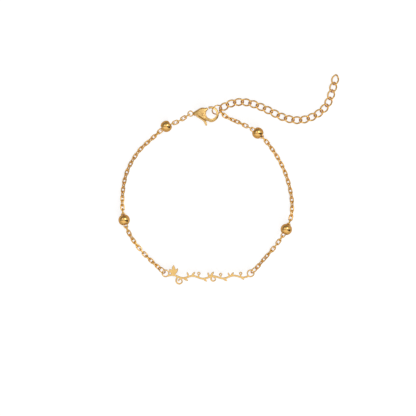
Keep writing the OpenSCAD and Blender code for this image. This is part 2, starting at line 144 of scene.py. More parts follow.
# %% Grids, joined grids and finished pieces
def grid_quads(rows, columns, closed_rows=True):
    """Quads of a grid that closes along its columns: each corner with the next row and the next column."""
    i = np.arange(rows if closed_rows else rows - 1)[:, None]
    j = np.arange(columns)[None, :]
    near, far, beside = i * columns, (i + 1) % rows * columns, (j + 1) % columns
    return np.stack([near + j, far + j, far + beside, near + beside], -1).reshape(-1, 4)


def joined(shapes):
    """One list of corners and one of faces from many."""
    starts = np.cumsum([0] + [len(spots) for spots, faces in shapes[:-1]])
    return (np.vstack([spots for spots, faces in shapes]),
            np.vstack([faces + start for (spots, faces), start in zip(shapes, starts)]))


DRESSED = []


def make_piece(name, spots, faces, part, slot, body="bracelet", normals=None):
    """An object from corners in metres and lists of faces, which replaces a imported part. The volume is the
    sum of a . (b x c) / 6 over its triangles."""
    mesh = bpy.data.meshes.new(name)
    mesh.from_pydata(spots.tolist(), [], sum([group.tolist() for group in faces], []))
    mesh.polygons.foreach_set("use_smooth", [True] * len(mesh.polygons))
    if normals is not None:
        mesh.normals_split_custom_set_from_vertices(normals.tolist())
    mesh.calc_loop_triangles()
    order = np.empty(len(mesh.loop_triangles) * 3, int)
    mesh.loop_triangles.foreach_get("vertices", order)
    a, b, c = spots[order.reshape(-1, 3)].transpose(1, 0, 2)
    volume = (a * np.cross(b, c)).sum() / 6
    piece = bpy.data.objects.new(name, mesh)
    bpy.context.scene.collection.objects.link(piece)
    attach(piece, body)
    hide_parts(part)
    DRESSED.append((piece, part, slot))
    print(f"{name}: {len(order) // 3} triangles round {volume / MM ** 3:.2f} cubic mm")
    return piece


# %% [markdown]
# ## Links, drawn once and laid where each packed link lies
# A cable link is a wire that runs straight, round a half circle, back and round again. The extender's links
# are curb links: an oval that is rolled one way at one end and the other way at the other end, so that the
# chain lies flat. Both are a small round section carried along a closed curve. Each kind is drawn once and
# laid on every packed link, which costs less than smoothing a hundred of them.


# %% A wire carried along a closed curve
def wire_along(path, radius, sides=12, squareness=2.0):
    """A closed wire. At an angle, the section reaches radius / (|cos|^s + |sin|^s)^(1/s), which is a circle
    at s = 2 and a rounded square above. Its plane is set by the curve's heading and the way out from the
    curve's middle."""
    ahead = np.roll(path, -1, axis=0) - np.roll(path, 1, axis=0)
    ahead /= np.linalg.norm(ahead, axis=1)[:, None]
    out = path - (path * ahead).sum(axis=1)[:, None] * ahead
    out /= np.linalg.norm(out, axis=1)[:, None]
    up = np.cross(ahead, out)
    turn = np.arange(sides) / sides * 2 * np.pi
    x, y = np.cos(turn), np.sin(turn)
    reach = radius / (np.abs(x) ** squareness + np.abs(y) ** squareness) ** (1 / squareness)
    ring = (reach * x)[None, :, None] * out[:, None, :] + (reach * y)[None, :, None] * up[:, None, :]
    return (path[:, None, :] + ring).reshape(-1, 3), grid_quads(len(path), sides)[:, ::-1]


def stadium(length, width, steps):
    """Middle line of a cable link: even steps along two straight sides and two half circles."""
    bow = width / 2
    side = length - width
    half = side + np.pi * bow
    run = (np.arange(steps) + 0.5) / steps * 2 * half
    back = run >= half
    run = np.where(back, run - half, run)
    angle = np.clip((run - side) / bow, 0, np.pi)
    x = np.where(run < side, run - side / 2, side / 2 + bow * np.sin(angle))
    y = -bow * np.cos(angle)
    turned = np.where(back, -1.0, 1.0)
    return np.stack([x * turned, y * turned, np.zeros(steps)], -1)


def curb(length, width, twist, steps):
    """Middle line of a curb link: an oval whose roll about its length goes from twist to minus twist. It is
    (a cos t, b sin t cos roll, b sin t sin roll), with a and b half its length and width, and
    roll = twist * cos t."""
    t = np.arange(steps) / steps * 2 * np.pi
    roll = twist * np.cos(t)
    across = width / 2 * np.sin(t)
    return np.stack([length / 2 * np.cos(t), across * np.cos(roll), across * np.sin(roll)], -1)


def laid(shape, corners):
    """A shape drawn about the origin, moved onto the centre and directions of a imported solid."""
    centre, rows, sizes = lie_of(corners)
    spots, faces = shape
    return spots @ rows + centre, faces


def reach_of(corners):
    """How long, wide and thick a solid is along its own directions."""
    centre, rows, sizes = lie_of(corners)
    return np.ptp(corners.reshape(-1, 3) @ rows.T, axis=0)


# %% The two fine chains and the extender
length, width, fine_wire = reach_of(solids("chain_left")[0])
fine_path = stadium(length - fine_wire, width - fine_wire, steps=40)
fine_link = wire_along(fine_path, fine_wire / 2, sides=14, squareness=2.2)
print("fine link in mm:", np.round([length / MM, width / MM, fine_wire / MM], 2))

CURB_WIRE, CURB_TWIST = 0.5 * MM, np.radians(42)
length, width, thick = reach_of(solids("extender_chain")[0])
curb_path = curb(length - CURB_WIRE, width - CURB_WIRE, CURB_TWIST, steps=64)
curb_link = wire_along(curb_path, CURB_WIRE / 2, sides=16)
print("curb link in mm:", np.round([length / MM, width / MM, thick / MM], 2))

for name, part, link in [("fine_chain_left", "chain_left", fine_link),
                         ("fine_chain_right", "chain_right", fine_link),
                         ("extender_of_curb_links", "extender_chain", curb_link)]:
    spots, faces = joined([laid(link, corners) for corners in solids(part)])
    make_piece(name, spots, [faces], part, "chain_gold")

# %% [markdown]
# ## Rings
# Jump rings are cut from a coil of wire, so each has a fine seam where its ends meet. The ring on the clasp
# is soldered shut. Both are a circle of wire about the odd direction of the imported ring. Blender's own
# torus would do for the soldered one, but not for a seam.


# %% Rings of round wire
def ring_of_wire(radius, wire, seam_depth, steps=96, seam_angle=0.035):
    """A circle of wire. Near angle 0 the wire thins by seam_depth * exp(-(angle / seam_angle)^2), and the
    steps are angle = pi * (share + share^3) / 2, so that they crowd there."""
    share = np.arange(steps) / steps * 2 - 1
    turn = np.pi / 2 * (share + share ** 3)
    path = radius * np.stack([np.cos(turn), np.sin(turn), np.zeros(steps)], -1)
    spots, faces = wire_along(path, wire, 16)
    thin = 1 - seam_depth * np.exp(-(turn / seam_angle) ** 2)
    spots = path[:, None] + (spots.reshape(steps, -1, 3) - path[:, None]) * thin[:, None, None]
    return spots.reshape(-1, 3), faces


RING_WIRE, SEAM_DEPTH = 0.4 * MM, 0.16
for name, part, seam in [("jump_ring_by_left_leaf", "jump_ring_left", SEAM_DEPTH),
                         ("jump_ring_by_right_berry", "jump_ring_right", SEAM_DEPTH),
                         ("clasp_ring", "end_ring", 0.0)]:
    corners = solids(part)[0]
    centre, rows, sizes = lie_of(corners)
    reach = np.linalg.norm((corners - centre).reshape(-1, 3), axis=1).max() - RING_WIRE / 2
    spots, faces = laid(ring_of_wire(reach, RING_WIRE / 2, seam), corners)
    make_piece(name, spots, [faces], part, "chain_gold")

# %% [markdown]
# ## Beads
# A bead is a drilled, polished ball with a small rounded lip at each mouth. A sphere with a hole cut in it
# would have a sharp rim and uneven faces. Its half section is a closed line instead: along the ball, over
# the lip and back along the bore. Turned about the bore, it gives the bead.


# %% Beads on the chain
def turned(profile, steps):
    """A closed line of (along, out) pairs turned about the x axis: (along, out * cos, out * sin)."""
    turn = np.arange(steps) / steps * 2 * np.pi
    along, out = profile[:, :1], profile[:, 1:]
    spots = np.stack([along + 0 * turn, out * np.cos(turn), out * np.sin(turn)], -1)
    return spots.reshape(-1, 3), grid_quads(len(profile), steps)


def bead_profile(radius, bore, lip):
    """Half section: a circle of the ball's radius, a quarter circle of lip and a straight bore."""
    mouth = np.arcsin((bore + lip) / radius)
    ball = np.linspace(mouth, np.pi - mouth, 60)
    face = radius * np.cos(mouth)
    edge = np.linspace(0.5 * np.pi, np.pi, 7)[1:]
    corner = np.stack([-face + lip - lip * np.sin(edge), bore + lip + lip * np.cos(edge)], -1)
    wall = np.linspace(-face + lip, face - lip, 14)[1:-1]
    return np.vstack([np.stack([radius * np.cos(ball), radius * np.sin(ball)], -1), corner,
                      np.stack([wall, np.full(len(wall), bore)], -1), corner[::-1] * [-1, 1]])


BEAD_LIP = 0.07 * MM
BALLS = []
for number in range(1, 5):
    part = f"bead_{number}"
    corners = solids(part)[0]
    centre, rows, sizes = lie_of(corners)
    radius = np.ptp(corners[:, :, 2]) / 2
    hole = rows[2] if sizes[0] - sizes[1] < sizes[1] - sizes[2] else rows[0]
    bore = np.linalg.norm(np.cross(corners - centre, hole), axis=2).min()
    side = np.cross([0, 0, 1], hole)
    side /= np.linalg.norm(side)
    spots, faces = turned(bead_profile(radius, bore, BEAD_LIP), steps=72)
    spots = spots @ np.array([hole, side, np.cross(hole, side)]) + centre
    BALLS.append((centre, float(radius)))
    make_piece(f"polished_bead_{number}", spots, [faces], part, "bead_gold")

# %% [markdown]
# ## The plate
# The plate is cut from sheet and polished, which rounds its edges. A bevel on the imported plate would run
# into itself at the fine tips, so the edge is built from the outline, which says everything about a flat
# part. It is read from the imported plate's top face: an edge that only one flat triangle uses lies on it.
# The edges are strung into loops, the loops are smoothed a little, and a rounded edge is carried along
# each. Flat faces close both sides.


# %% Read the plate's outline
def outline_loops(part):
    """The closed loops round the top face of a flat part, metal on the left. Each point leads to the next;
    jumps of 1, 2, 4 and more steps find the lowest point of each loop, and then walk round it."""
    spots, triangles = corners_and_triangles(part)
    top = spots[:, 2].max()
    flat = triangles[(spots[triangles][:, :, 2] > top - 1e-7).all(axis=1)]
    edges = np.vstack([flat[:, [0, 1]], flat[:, [1, 2]], flat[:, [2, 0]]])
    one_way, other_way = edges @ [len(spots), 1], edges @ [1, len(spots)]
    rim = edges[~np.isin(one_way, other_way)]
    following = np.arange(len(spots))
    following[rim[:, 0]] = rim[:, 1]
    lowest, jump = np.arange(len(spots)), following
    for _ in range(int(np.log2(len(rim))) + 1):
        lowest, jump = np.minimum(lowest, lowest[jump]), jump[jump]
    loops = []
    for start, count in zip(*np.unique(lowest[rim[:, 0]], return_counts=True)):
        walk, jump = np.array([start]), following
        while len(walk) < count:
            walk, jump = np.concatenate([walk, jump[walk]]), jump[jump]
        loops.append(spots[walk[:count], :2])
    return loops


def evened(loop, step):
    """A loop walked at even steps, each point then a quarter of each neighbour and half of itself."""
    around = np.vstack([loop, loop[:1]])
    run = np.concatenate([[0], np.cumsum(np.linalg.norm(np.diff(around, axis=0), axis=1))])
    count = max(int(run[-1] / step), 12)
    places = np.arange(count) / count * run[-1]
    even = np.stack([np.interp(places, run, around[:, axis]) for axis in (0, 1)], -1)
    return (np.roll(even, 1, axis=0) + 2 * even + np.roll(even, -1, axis=0)) / 4


OUTLINE_STEP = 0.07 * MM
loops = [evened(loop, OUTLINE_STEP) for loop in outline_loops("nameplate")]
print("plate outline:", len(loops), "loops,", sum(len(loop) for loop in loops), "points")


# %% Give the outline its rounded edge
def edge_wall(loop, low, high, rounding, drop, rim):
    """The wall under a loop. A quarter ellipse, rounding wide and drop tall, leads in to each face, then a
    narrow flat rim. The way in is the mean of seven points' ways in, which shortens it at a sharp tip. The
    wall crosses itself where rounding and rim together pass half the width of a stroke."""
    ahead = np.roll(loop, -1, axis=0) - np.roll(loop, 1, axis=0)
    ahead /= np.linalg.norm(ahead, axis=1)[:, None]
    inward = np.stack([-ahead[:, 1], ahead[:, 0]], -1)
    inward = sum(np.roll(inward, shift, axis=0) for shift in range(-3, 4)) / 7
    bend = np.linspace(0, np.pi / 2, 6)
    inset = rounding * (1 - np.sin(bend))
    depth = np.concatenate([[rounding + rim], inset, inset[::-1], [rounding + rim]])
    rise = drop * (1 - np.cos(bend))
    height = np.concatenate([[low], low + rise, high - rise[::-1], [high]])
    flat = loop[None] + depth[:, None, None] * inward[None]
    spots = np.concatenate([flat, np.broadcast_to(height[:, None, None], flat.shape[:2] + (1,))], -1)
    return spots.reshape(-1, 3), grid_quads(len(depth), len(loop), closed_rows=False)[:, ::-1]


def face_between(loops):
    """Triangles of a flat face between loops of points. A triangle is kept where a line from its middle
    crosses the loops an odd number of times."""
    points = np.vstack(loops) / MM
    starts = np.cumsum([0] + [len(loop) for loop in loops])
    here = np.arange(len(points))
    following = np.concatenate([np.roll(here[a:b], -1) for a, b in zip(starts[:-1], starts[1:])])
    found = delaunay_2d_cdt(points.tolist(), np.stack([here, following], -1).tolist(), [], 1, 1e-6)
    source = np.array([near[0] for near in found[3]])
    triangles = source[np.array(found[2])]
    x, y = points[triangles].mean(axis=1).T[:, :, None]
    x0, y0, x1, y1 = points[:, 0], points[:, 1], points[following, 0], points[following, 1]
    level = (y0 > y) != (y1 > y)
    crossing = x0 + (y - y0) / np.where(level, y1 - y0, 1) * (x1 - x0)
    inside = (level & (crossing > x)).sum(axis=1) % 2 == 1
    return triangles[inside]


EDGE_ROUNDING, EDGE_DROP, EDGE_RIM = 0.13 * MM, 0.3 * MM, 0.01 * MM
plate_low, plate_high = [corner[2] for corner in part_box("nameplate")]
walls = [edge_wall(loop, plate_low, plate_high, EDGE_ROUNDING, EDGE_DROP, EDGE_RIM) for loop in loops]
spots, wall_faces = joined(walls)
starts = np.cumsum([0] + [len(wall) for wall, faces in walls])
rims = [wall[:len(loop), :2] for (wall, faces), loop in zip(walls, loops)]
bottom = np.concatenate([np.arange(len(loop)) + start for loop, start in zip(loops, starts)])
top = np.concatenate([np.arange(len(loop)) + end - len(loop) for loop, end in zip(loops, starts[1:])])
face = face_between(rims)
make_piece("vine_plate", spots, [wall_faces, top[face], bottom[face][:, ::-1]], "nameplate", "plate_gold")

# %% [markdown]
# ## The clasp
# The clasp is cast, so its forms flow into each other: a fat belly, a hook that closes on a lever, and an
# eye. Subdivided quads could be drawn round them by hand, with trouble at the slot and the jaw. Such a body
# is easiest as one function of place that is below zero in the metal. Simple forms give distances, and
# blends join or cut them with a soft edge. A grid finds where the function changes sign.


# %% Flat forms, all in mm about the centre of the hook's hole
def circle(x, y, centre, radius):
    """Distance from a circle: from its centre, less its radius."""
    return np.hypot(x - centre[0], y - centre[1]) - radius


def taper(x, y, a, a_radius, b, b_radius):
    """Distance from two circles and all between them: from their shared tangent, or from a circle past its
    end of the tangent."""
    length = np.hypot(b[0] - a[0], b[1] - a[1])
    u, v = (b[0] - a[0]) / length, (b[1] - a[1]) / length
    along = (x - a[0]) * u + (y - a[1]) * v
    aside = np.abs((x - a[0]) * v - (y - a[1]) * u)
    lean = (a_radius - b_radius) / length
    rise = np.sqrt(1 - lean ** 2)
    reached = rise * along - lean * aside
    between = rise * aside + lean * along - a_radius
    ends = np.where(reached < 0, np.hypot(along, aside) - a_radius,
                    np.hypot(along - length, aside) - b_radius)
    return np.where((reached > 0) & (reached < rise * length), between, ends)


def fan(x, y, corner, angle_from, angle_to):
    """Distance from a wedge under a half turn: the larger of the distances from its two sides."""
    a, b = np.radians([angle_from, angle_to])
    x, y = x - corner[0], y - corner[1]
    return np.maximum(np.sin(a) * x - np.cos(a) * y, np.cos(b) * y - np.sin(b) * x)


def many_sided(x, y, points):
    """Distance from a form with straight sides and no hollows, its points listed clockwise."""
    far = -np.inf
    for (ax, ay), (bx, by) in zip(points, points[1:] + points[:1]):
        far = np.maximum(far, ((bx - ax) * (y - ay) - (by - ay) * (x - ax)) / np.hypot(bx - ax, by - ay))
    return far


def join(a, b, soft=0.0):
    """The nearer of two forms. Where they differ by less than soft, (soft - difference)^2 / (4 * soft) is
    taken off, which rounds the corner between them."""
    return np.minimum(a, b) - np.maximum(soft - np.abs(a - b), 0) ** 2 / (4 * soft + 1e-9)


def cut(a, b, soft=0.0):
    """The first form without the second, with its new edge rounded by soft."""
    return -join(-a, b, soft)


def common(a, b, soft=0.0):
    """What two forms share, with its edge rounded by soft."""
    return -join(-a, -b, soft)


print("from (3, 0) it is", circle(3, 0, (0, 0), 1.5), "mm to a circle of 1.5 mm about the origin")

# %% The clasp's sizes, in mm and degrees
CLASP_LEN = 6.8
NECK, NECK_R = (-5.2, 0), 0.75
BELLY, BELLY_R = (-2.72, -0.136), 2.15
PIVOT = (-2.87, -0.286)
HOOK_SHIFT, HOOK_OUT, HOOK_HOLE = (-0.1, -0.2), 2.62, 1.73
EYE, EYE_R, EYE_WIRE = (-CLASP_LEN, 0), 0.85, 0.2
JAW_FROM, JAW_TO, TIP_SPAN, TIP_REACH = 113, 125, 12, 2.888
LEVER_T, LEVER_PLAY, LEVER_OPENS = 1.0, 0.14, 25
PIN_R, PIN_FIT, PIN_PLAY = 0.35, 0.02, 0.05
GATE_REACH, GATE_FAN = TIP_REACH - LEVER_PLAY, (36, 66)
HUB_R, HEEL, HEEL_R = 0.95, (-4.62, -0.786), 0.33
TAB_ROOT, TAB_ROOT_R, TAB_TIP, TAB_TIP_R = (-2.15, -2.146), 0.48, (-1.62, -3.686), 0.3
TAB_ROOM, HUB_ROOM = (-114, -46), 1.85 * HUB_R
GATE_ROOM = [PIVOT, (-3.37, 0.914), (-2.17, 2.814), (-1.524, 2.75), (0, 0)]
CHEEK_EDGE = [(PIVOT[0] - 1.9, PIVOT[1] - 0.07), (PIVOT[0] + 1.95, PIVOT[1] - 2.56)]
UNDER_CHEEKS = CHEEK_EDGE + [(PIVOT[0] + 1.95, PIVOT[1] - 4), (PIVOT[0] - 2.3, PIVOT[1] - 4),
                             (PIVOT[0] - 2.3, PIVOT[1] - 0.5)]
ROUNDING, SQUARENESS = 0.6, 2.2
NECK_HALF, BELLY_HALF = 0.425, 1.5
BULGE_AT = CLASP_LEN * np.array([-1, -0.9, -0.78, -0.64, -0.52, -0.4, -0.28, -0.17, -0.06, 0.04, 0.14,
                                 0.28, 0.46])
BULGE = NECK_HALF + (BELLY_HALF - NECK_HALF) * np.array([0.02, 0.08, 0.35, 0.78, 0.95, 1, 0.9, 0.62, 0.3,
                                                         0.1, 0.03, 0, -0.12])


def half_thickness(x, ease=0.22):
    """Half thickness along the clasp: lines through the bulge's points, with their corners eased. Each
    corner adds its change of slope times ease * log(1 + e^((x - corner) / ease)), in mm."""
    slopes = np.concatenate([[0], np.diff(BULGE) / np.diff(BULGE_AT), [0]])
    return BULGE[0] + sum(turn * ease * np.logaddexp(0, (x - corner) / ease)
                          for corner, turn in zip(BULGE_AT, np.diff(slopes)))


print("the clasp is", round(2 * half_thickness(BELLY[0]), 2), "mm thick at its belly")


# %% Clasp body and lever as functions of place
def turned_back(point, degrees):
    """A point on the lever after the lever opens, turned clockwise about its pin."""
    a = -np.radians(degrees)
    x, y = point[0] - PIVOT[0], point[1] - PIVOT[1]
    return PIVOT[0] + x * np.cos(a) - y * np.sin(a), PIVOT[1] + x * np.sin(a) + y * np.cos(a)


def lever_room(x, y):
    """Outline of the slot between the cheeks: all that the lever sweeps, and its play."""
    room = circle(x, y, PIVOT, HUB_ROOM)
    for degrees in (0, LEVER_OPENS / 2, LEVER_OPENS):
        heel = turned_back(HEEL, degrees)
        room = join(room, taper(x, y, PIVOT, HUB_R + LEVER_PLAY, heel, HEEL_R + LEVER_PLAY))
    return join(join(room, many_sided(x, y, GATE_ROOM)), fan(x, y, PIVOT, *TAB_ROOM))


def clasp_form(x, y, z):
    """The body. Its section is ((d + R) / R)^s + (|z| / H)^s = 1, with d the distance from the outline, H
    the half thickness at that place, R the rounding of the cheeks and s their squareness. The hole, the
    jaw, the straight edge under the cheeks, the slot and the pin's bore are cut from it, and the eye is
    joined on."""
    outline = join(taper(x, y, NECK, NECK_R, BELLY, BELLY_R), circle(x, y, HOOK_SHIFT, HOOK_OUT), soft=0.5)
    across = np.maximum(outline / ROUNDING + 1, 0)
    upward = np.abs(z) / half_thickness(x)
    body = ROUNDING * ((across ** SQUARENESS + upward ** SQUARENESS) ** (1 / SQUARENESS) - 1)
    body = cut(body, circle(x, y, (0, 0), HOOK_HOLE), soft=0.14)
    tip = common(circle(x, y, PIVOT, TIP_REACH), fan(x, y, (0, 0), JAW_FROM - TIP_SPAN, JAW_TO))
    body = cut(body, join(fan(x, y, (0, 0), JAW_FROM, JAW_TO), tip), soft=0.1)
    body = cut(body, many_sided(x, y, UNDER_CHEEKS), soft=0.3)
    slot = np.maximum(lever_room(x, y), np.abs(z) - LEVER_T / 2 - LEVER_PLAY)
    body = cut(body, slot, soft=0.08)
    body = cut(body, circle(x, y, PIVOT, PIN_R + PIN_FIT), soft=0.04)
    eye = np.hypot(circle(x, y, EYE, EYE_R), z) - EYE_WIRE
    return join(body, eye, soft=0.25)


def lever_form(x, y, z):
    """The lever: hub, heel, tab and gate, cut from sheet, with soft edges and a bore for its pin."""
    flat = join(circle(x, y, PIVOT, HUB_R), taper(x, y, PIVOT, HUB_R, HEEL, HEEL_R), soft=0.1)
    flat = join(flat, taper(x, y, HEEL, HEEL_R, TAB_ROOT, TAB_ROOT_R), soft=0.1)
    flat = join(flat, taper(x, y, PIVOT, HUB_R, TAB_ROOT, TAB_ROOT_R), soft=0.1)
    flat = join(flat, taper(x, y, TAB_ROOT, TAB_ROOT_R, TAB_TIP, TAB_TIP_R), soft=0.2)
    gate = common(circle(x, y, PIVOT, GATE_REACH), fan(x, y, PIVOT, *GATE_FAN), soft=0.12)
    gate = common(gate, circle(x, y, HOOK_SHIFT, HOOK_OUT), soft=0.12)
    flat = join(flat, gate, soft=0.12)
    flat = cut(flat, circle(x, y, (0, 0), HOOK_HOLE), soft=0.08)
    solid = common(flat, np.abs(z) - LEVER_T / 2, soft=0.16)
    return cut(solid, circle(x, y, PIVOT, PIN_R + PIN_PLAY), soft=0.04)


# %% [markdown]
# The skin of such a function is found on a grid of cubes. A cube with metal at some corners and air at
# others holds one corner of the skin, at the mean of the places where its edges change sign. Each edge that
# changes sign is crossed by a quad between its four cubes. Three steps along the slope then bring each
# corner onto the surface, and the slope itself is the direction that the surface faces. Blender's remesh
# finds a skin too, but only of a mesh, and it wouldn't know that direction.


# %% Skin a function of place
def slope(form, spots, reach=0.004):
    """How fast a form grows along x, y and z: the difference of two samples over their distance."""
    steps = np.eye(3) * reach
    return np.stack([form(*(spots + step).T) - form(*(spots - step).T) for step in steps], -1) / (2 * reach)


def skin(form, low, high, step):
    """Corners, quads and normals of the surface where a form is zero. A step moves a corner by
    -value * slope / |slope|^2, and by half a cube at most."""
    counts = [int((b - a) / step) + 2 for a, b in zip(low, high)]
    axes = [a + step * np.arange(count) for a, count in zip(low, counts)]
    values = form(*np.meshgrid(*axes, indexing="ij"))
    inside = values < 0
    cube = [(i, j, k) for i in (0, 1) for j in (0, 1) for k in (0, 1)]
    filled = sum(inside[i:counts[0] - 1 + i, j:counts[1] - 1 + j, k:counts[2] - 1 + k].astype(int)
                 for i, j, k in cube)
    cells = np.argwhere((filled > 0) & (filled < 8))
    number = np.full(filled.shape, -1)
    number[tuple(cells.T)] = np.arange(len(cells))
    total, hits = np.zeros((len(cells), 3)), np.zeros(len(cells))
    quads = []
    for axis in range(3):
        ahead = np.eye(3, dtype=int)[axis]
        b, c = np.eye(3, dtype=int)[[(axis + 1) % 3, (axis + 2) % 3]]
        for corner in (0 * b, b, c, b + c):
            start, end = values[tuple((cells + corner).T)], values[tuple((cells + corner + ahead).T)]
            crossed = (start < 0) != (end < 0)
            share = start / np.where(crossed, start - end, 1)
            total += np.where(crossed[:, None], corner + share[:, None] * ahead, 0)
            hits += crossed
        change = np.argwhere(np.diff(inside.astype(int), axis=axis) != 0)
        change = change[(change @ (b + c) > 0) & ((change * (b + c))[:, (b + c) > 0] > 0).all(axis=1)]
        around = [number[tuple((change - shift).T)] for shift in (0 * b, b, b + c, c)]
        quad = np.stack(around, -1)
        leaving = inside[tuple(change.T)]
        quads.append(np.where(leaving[:, None], quad, quad[:, ::-1]))
    spots = np.array(low) + step * (cells + total / hits[:, None])
    for _ in range(3):
        up = slope(form, spots)
        move = form(*spots.T)[:, None] * up / np.maximum((up ** 2).sum(axis=1), 0.05)[:, None]
        spots -= np.clip(move, -step / 2, step / 2)
    normals = slope(form, spots)
    return spots, np.vstack(quads), normals / np.linalg.norm(normals, axis=1)[:, None]


# %% Make the clasp's body and lever
CUBE = 0.06
pin_low, pin_high = [np.array(corner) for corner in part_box("clasp_pin")]
clasp_zero = (pin_low + pin_high) / 2 - np.array([*PIVOT, 0]) * MM
# Each row ends with the lowest and the highest corner of its grid, in mm about the hook's hole.
for name, form, part, body, low, high in [
        ("hook_clasp", clasp_form, "clasp_body", "bracelet", (-8, -3.1, -1.7), (2.8, 2.6, 1.7)),
        ("sprung_lever", lever_form, "clasp_lever", "lever", (-5.2, -4.2, -0.7), (-0.3, 2.7, 0.7))]:
    spots, faces, normals = skin(form, low, high, CUBE)
    make_piece(name, spots * MM + clasp_zero, [faces], part, "clasp_gold", body, normals)

# %% [markdown]
# The lever turns on a rivet, whose two ends are low domes. A plain cylinder would show a hard edge in each
# cheek, so the rivet is a half section turned about its axis, as the beads are.


# %% The pin through both cheeks
def pin_profile(half, radius, dome):
    """Half section of the pin from end to end. A cap is half - dome * (1 - sqrt(1 - 0.9 * share^2)) high at
    each share of the radius, and a straight side joins the two caps."""
    out = np.linspace(0.02, 1, 8)
    cap = half - dome * (1 - np.sqrt(1 - 0.9 * out ** 2))
    side = np.linspace(cap[-1], -cap[-1], 6)[1:-1]
    return np.vstack([np.stack([cap, radius * out], -1), np.stack([side, np.full(4, radius)], -1),
                      np.stack([-cap, radius * out], -1)[::-1]])


PIN_DOME = 0.12 * MM
half, radius = (pin_high[2] - pin_low[2]) / 2, (pin_high[0] - pin_low[0]) / 2
spots, faces = turned(pin_profile(half, radius, PIN_DOME), steps=40)
make_piece("lever_pin", spots[:, [1, 2, 0]] + (pin_low + pin_high) / 2, [faces], "clasp_pin", "clasp_gold")

# %% [markdown]
# ## Writing a metal in a few lines
# A shader is a net of nodes, which could be joined one by one. Sums on values read better as sums, so a
# small class stands for a socket and turns each operator into its Math node. Every other node comes from
# one function, which is given its kind, its settings and what goes into its sockets.


# %% Sockets that can be added and multiplied
class Socket:
    """An output of a node, in a tree of nodes."""

    def __init__(self, tree, output):
        self.tree, self.output = tree, output

    def __add__(self, other):
        return maths(self.tree, "ADD", self, other)

    def __radd__(self, other):
        return maths(self.tree, "ADD", other, self)

    def __sub__(self, other):
        return maths(self.tree, "SUBTRACT", self, other)

    def __rsub__(self, other):
        return maths(self.tree, "SUBTRACT", other, self)

    def __mul__(self, other):
        return maths(self.tree, "MULTIPLY", self, other)

    def __rmul__(self, other):
        return maths(self.tree, "MULTIPLY", other, self)


def node(tree, kind, settings=None, inputs=None, output=0):
    """A node of a kind. Settings come first, then sockets get a number, a colour or a link."""
    made = tree.nodes.new(kind)
    for name, value in (settings or {}).items():
        setattr(made, name, value)
    for name, value in (inputs or {}).items():
        if isinstance(value, Socket):
            tree.links.new(value.output, made.inputs[name])
        else:
            made.inputs[name].default_value = value
    return Socket(tree, made.outputs[output]) if made.outputs else made


def maths(tree, operation, *values):
    """A Math node on one or two sockets or numbers."""
    return node(tree, "ShaderNodeMath", {"operation": operation}, dict(enumerate(values)))


def blend(tree, factor, a, b):
    """A mix of two colours. Sockets 6 and 7 of a Mix node are its colours, and output 2 is its result."""
    return node(tree, "ShaderNodeMix", {"data_type": "RGBA"}, {0: factor, 6: a, 7: b}, output=2)


def rises(tree, value, low, high):
    """Goes smoothly from 0 at low to 1 at high: 3 t^2 - 2 t^3, with t the share of the way."""
    return node(tree, "ShaderNodeMapRange", {"interpolation_type": "SMOOTHSTEP"},
                {"Value": value, "From Min": low, "From Max": high})


def size_of(tree, value):
    """A value without its sign."""
    return maths(tree, "ABSOLUTE", value)


# %% [markdown]
# ## Gold
# A metal has no colour of its own under its shine: it colours what it mirrors. So the base colour is the
# colour of its mirror image, and a second colour tints what it mirrors at a glance. The plate and the clasp
# are the palest, the chains are deeper and the beads a shade warmer. One even gold would look like plastic.
# Plating varies a little in tone, polishing leaves fine hairlines, and wear and skin oil vary the sharpness
# of the mirror, so noise on the place in metres sets all three. Each finish sets how strong these are.
# Where shade falls in hollows and crevices, a brown painted shade darkens the colour: inside the beads'
# bores, and on the lever along the cheeks' straight edge.


# %% Gold with tone, blur and relief that vary
PALE_GOLD = [(0.95, 0.66, 0.27, 1), (0.88, 0.54, 0.18, 1)]
WARM_GOLD = [(0.95, 0.6, 0.22, 1), (0.88, 0.49, 0.14, 1)]
CHAIN_GOLD = [(0.95, 0.62, 0.2, 1), (0.88, 0.5, 0.13, 1)]
EDGE_TINT = (0.96, 0.7, 0.34, 1)
# Painted shade: the brown that darkens the colour in the beads' bores and beside the lever, where shade
# falls.
PAINTED_SHADE_BROWN = (0.2, 0.09, 0.03, 1)


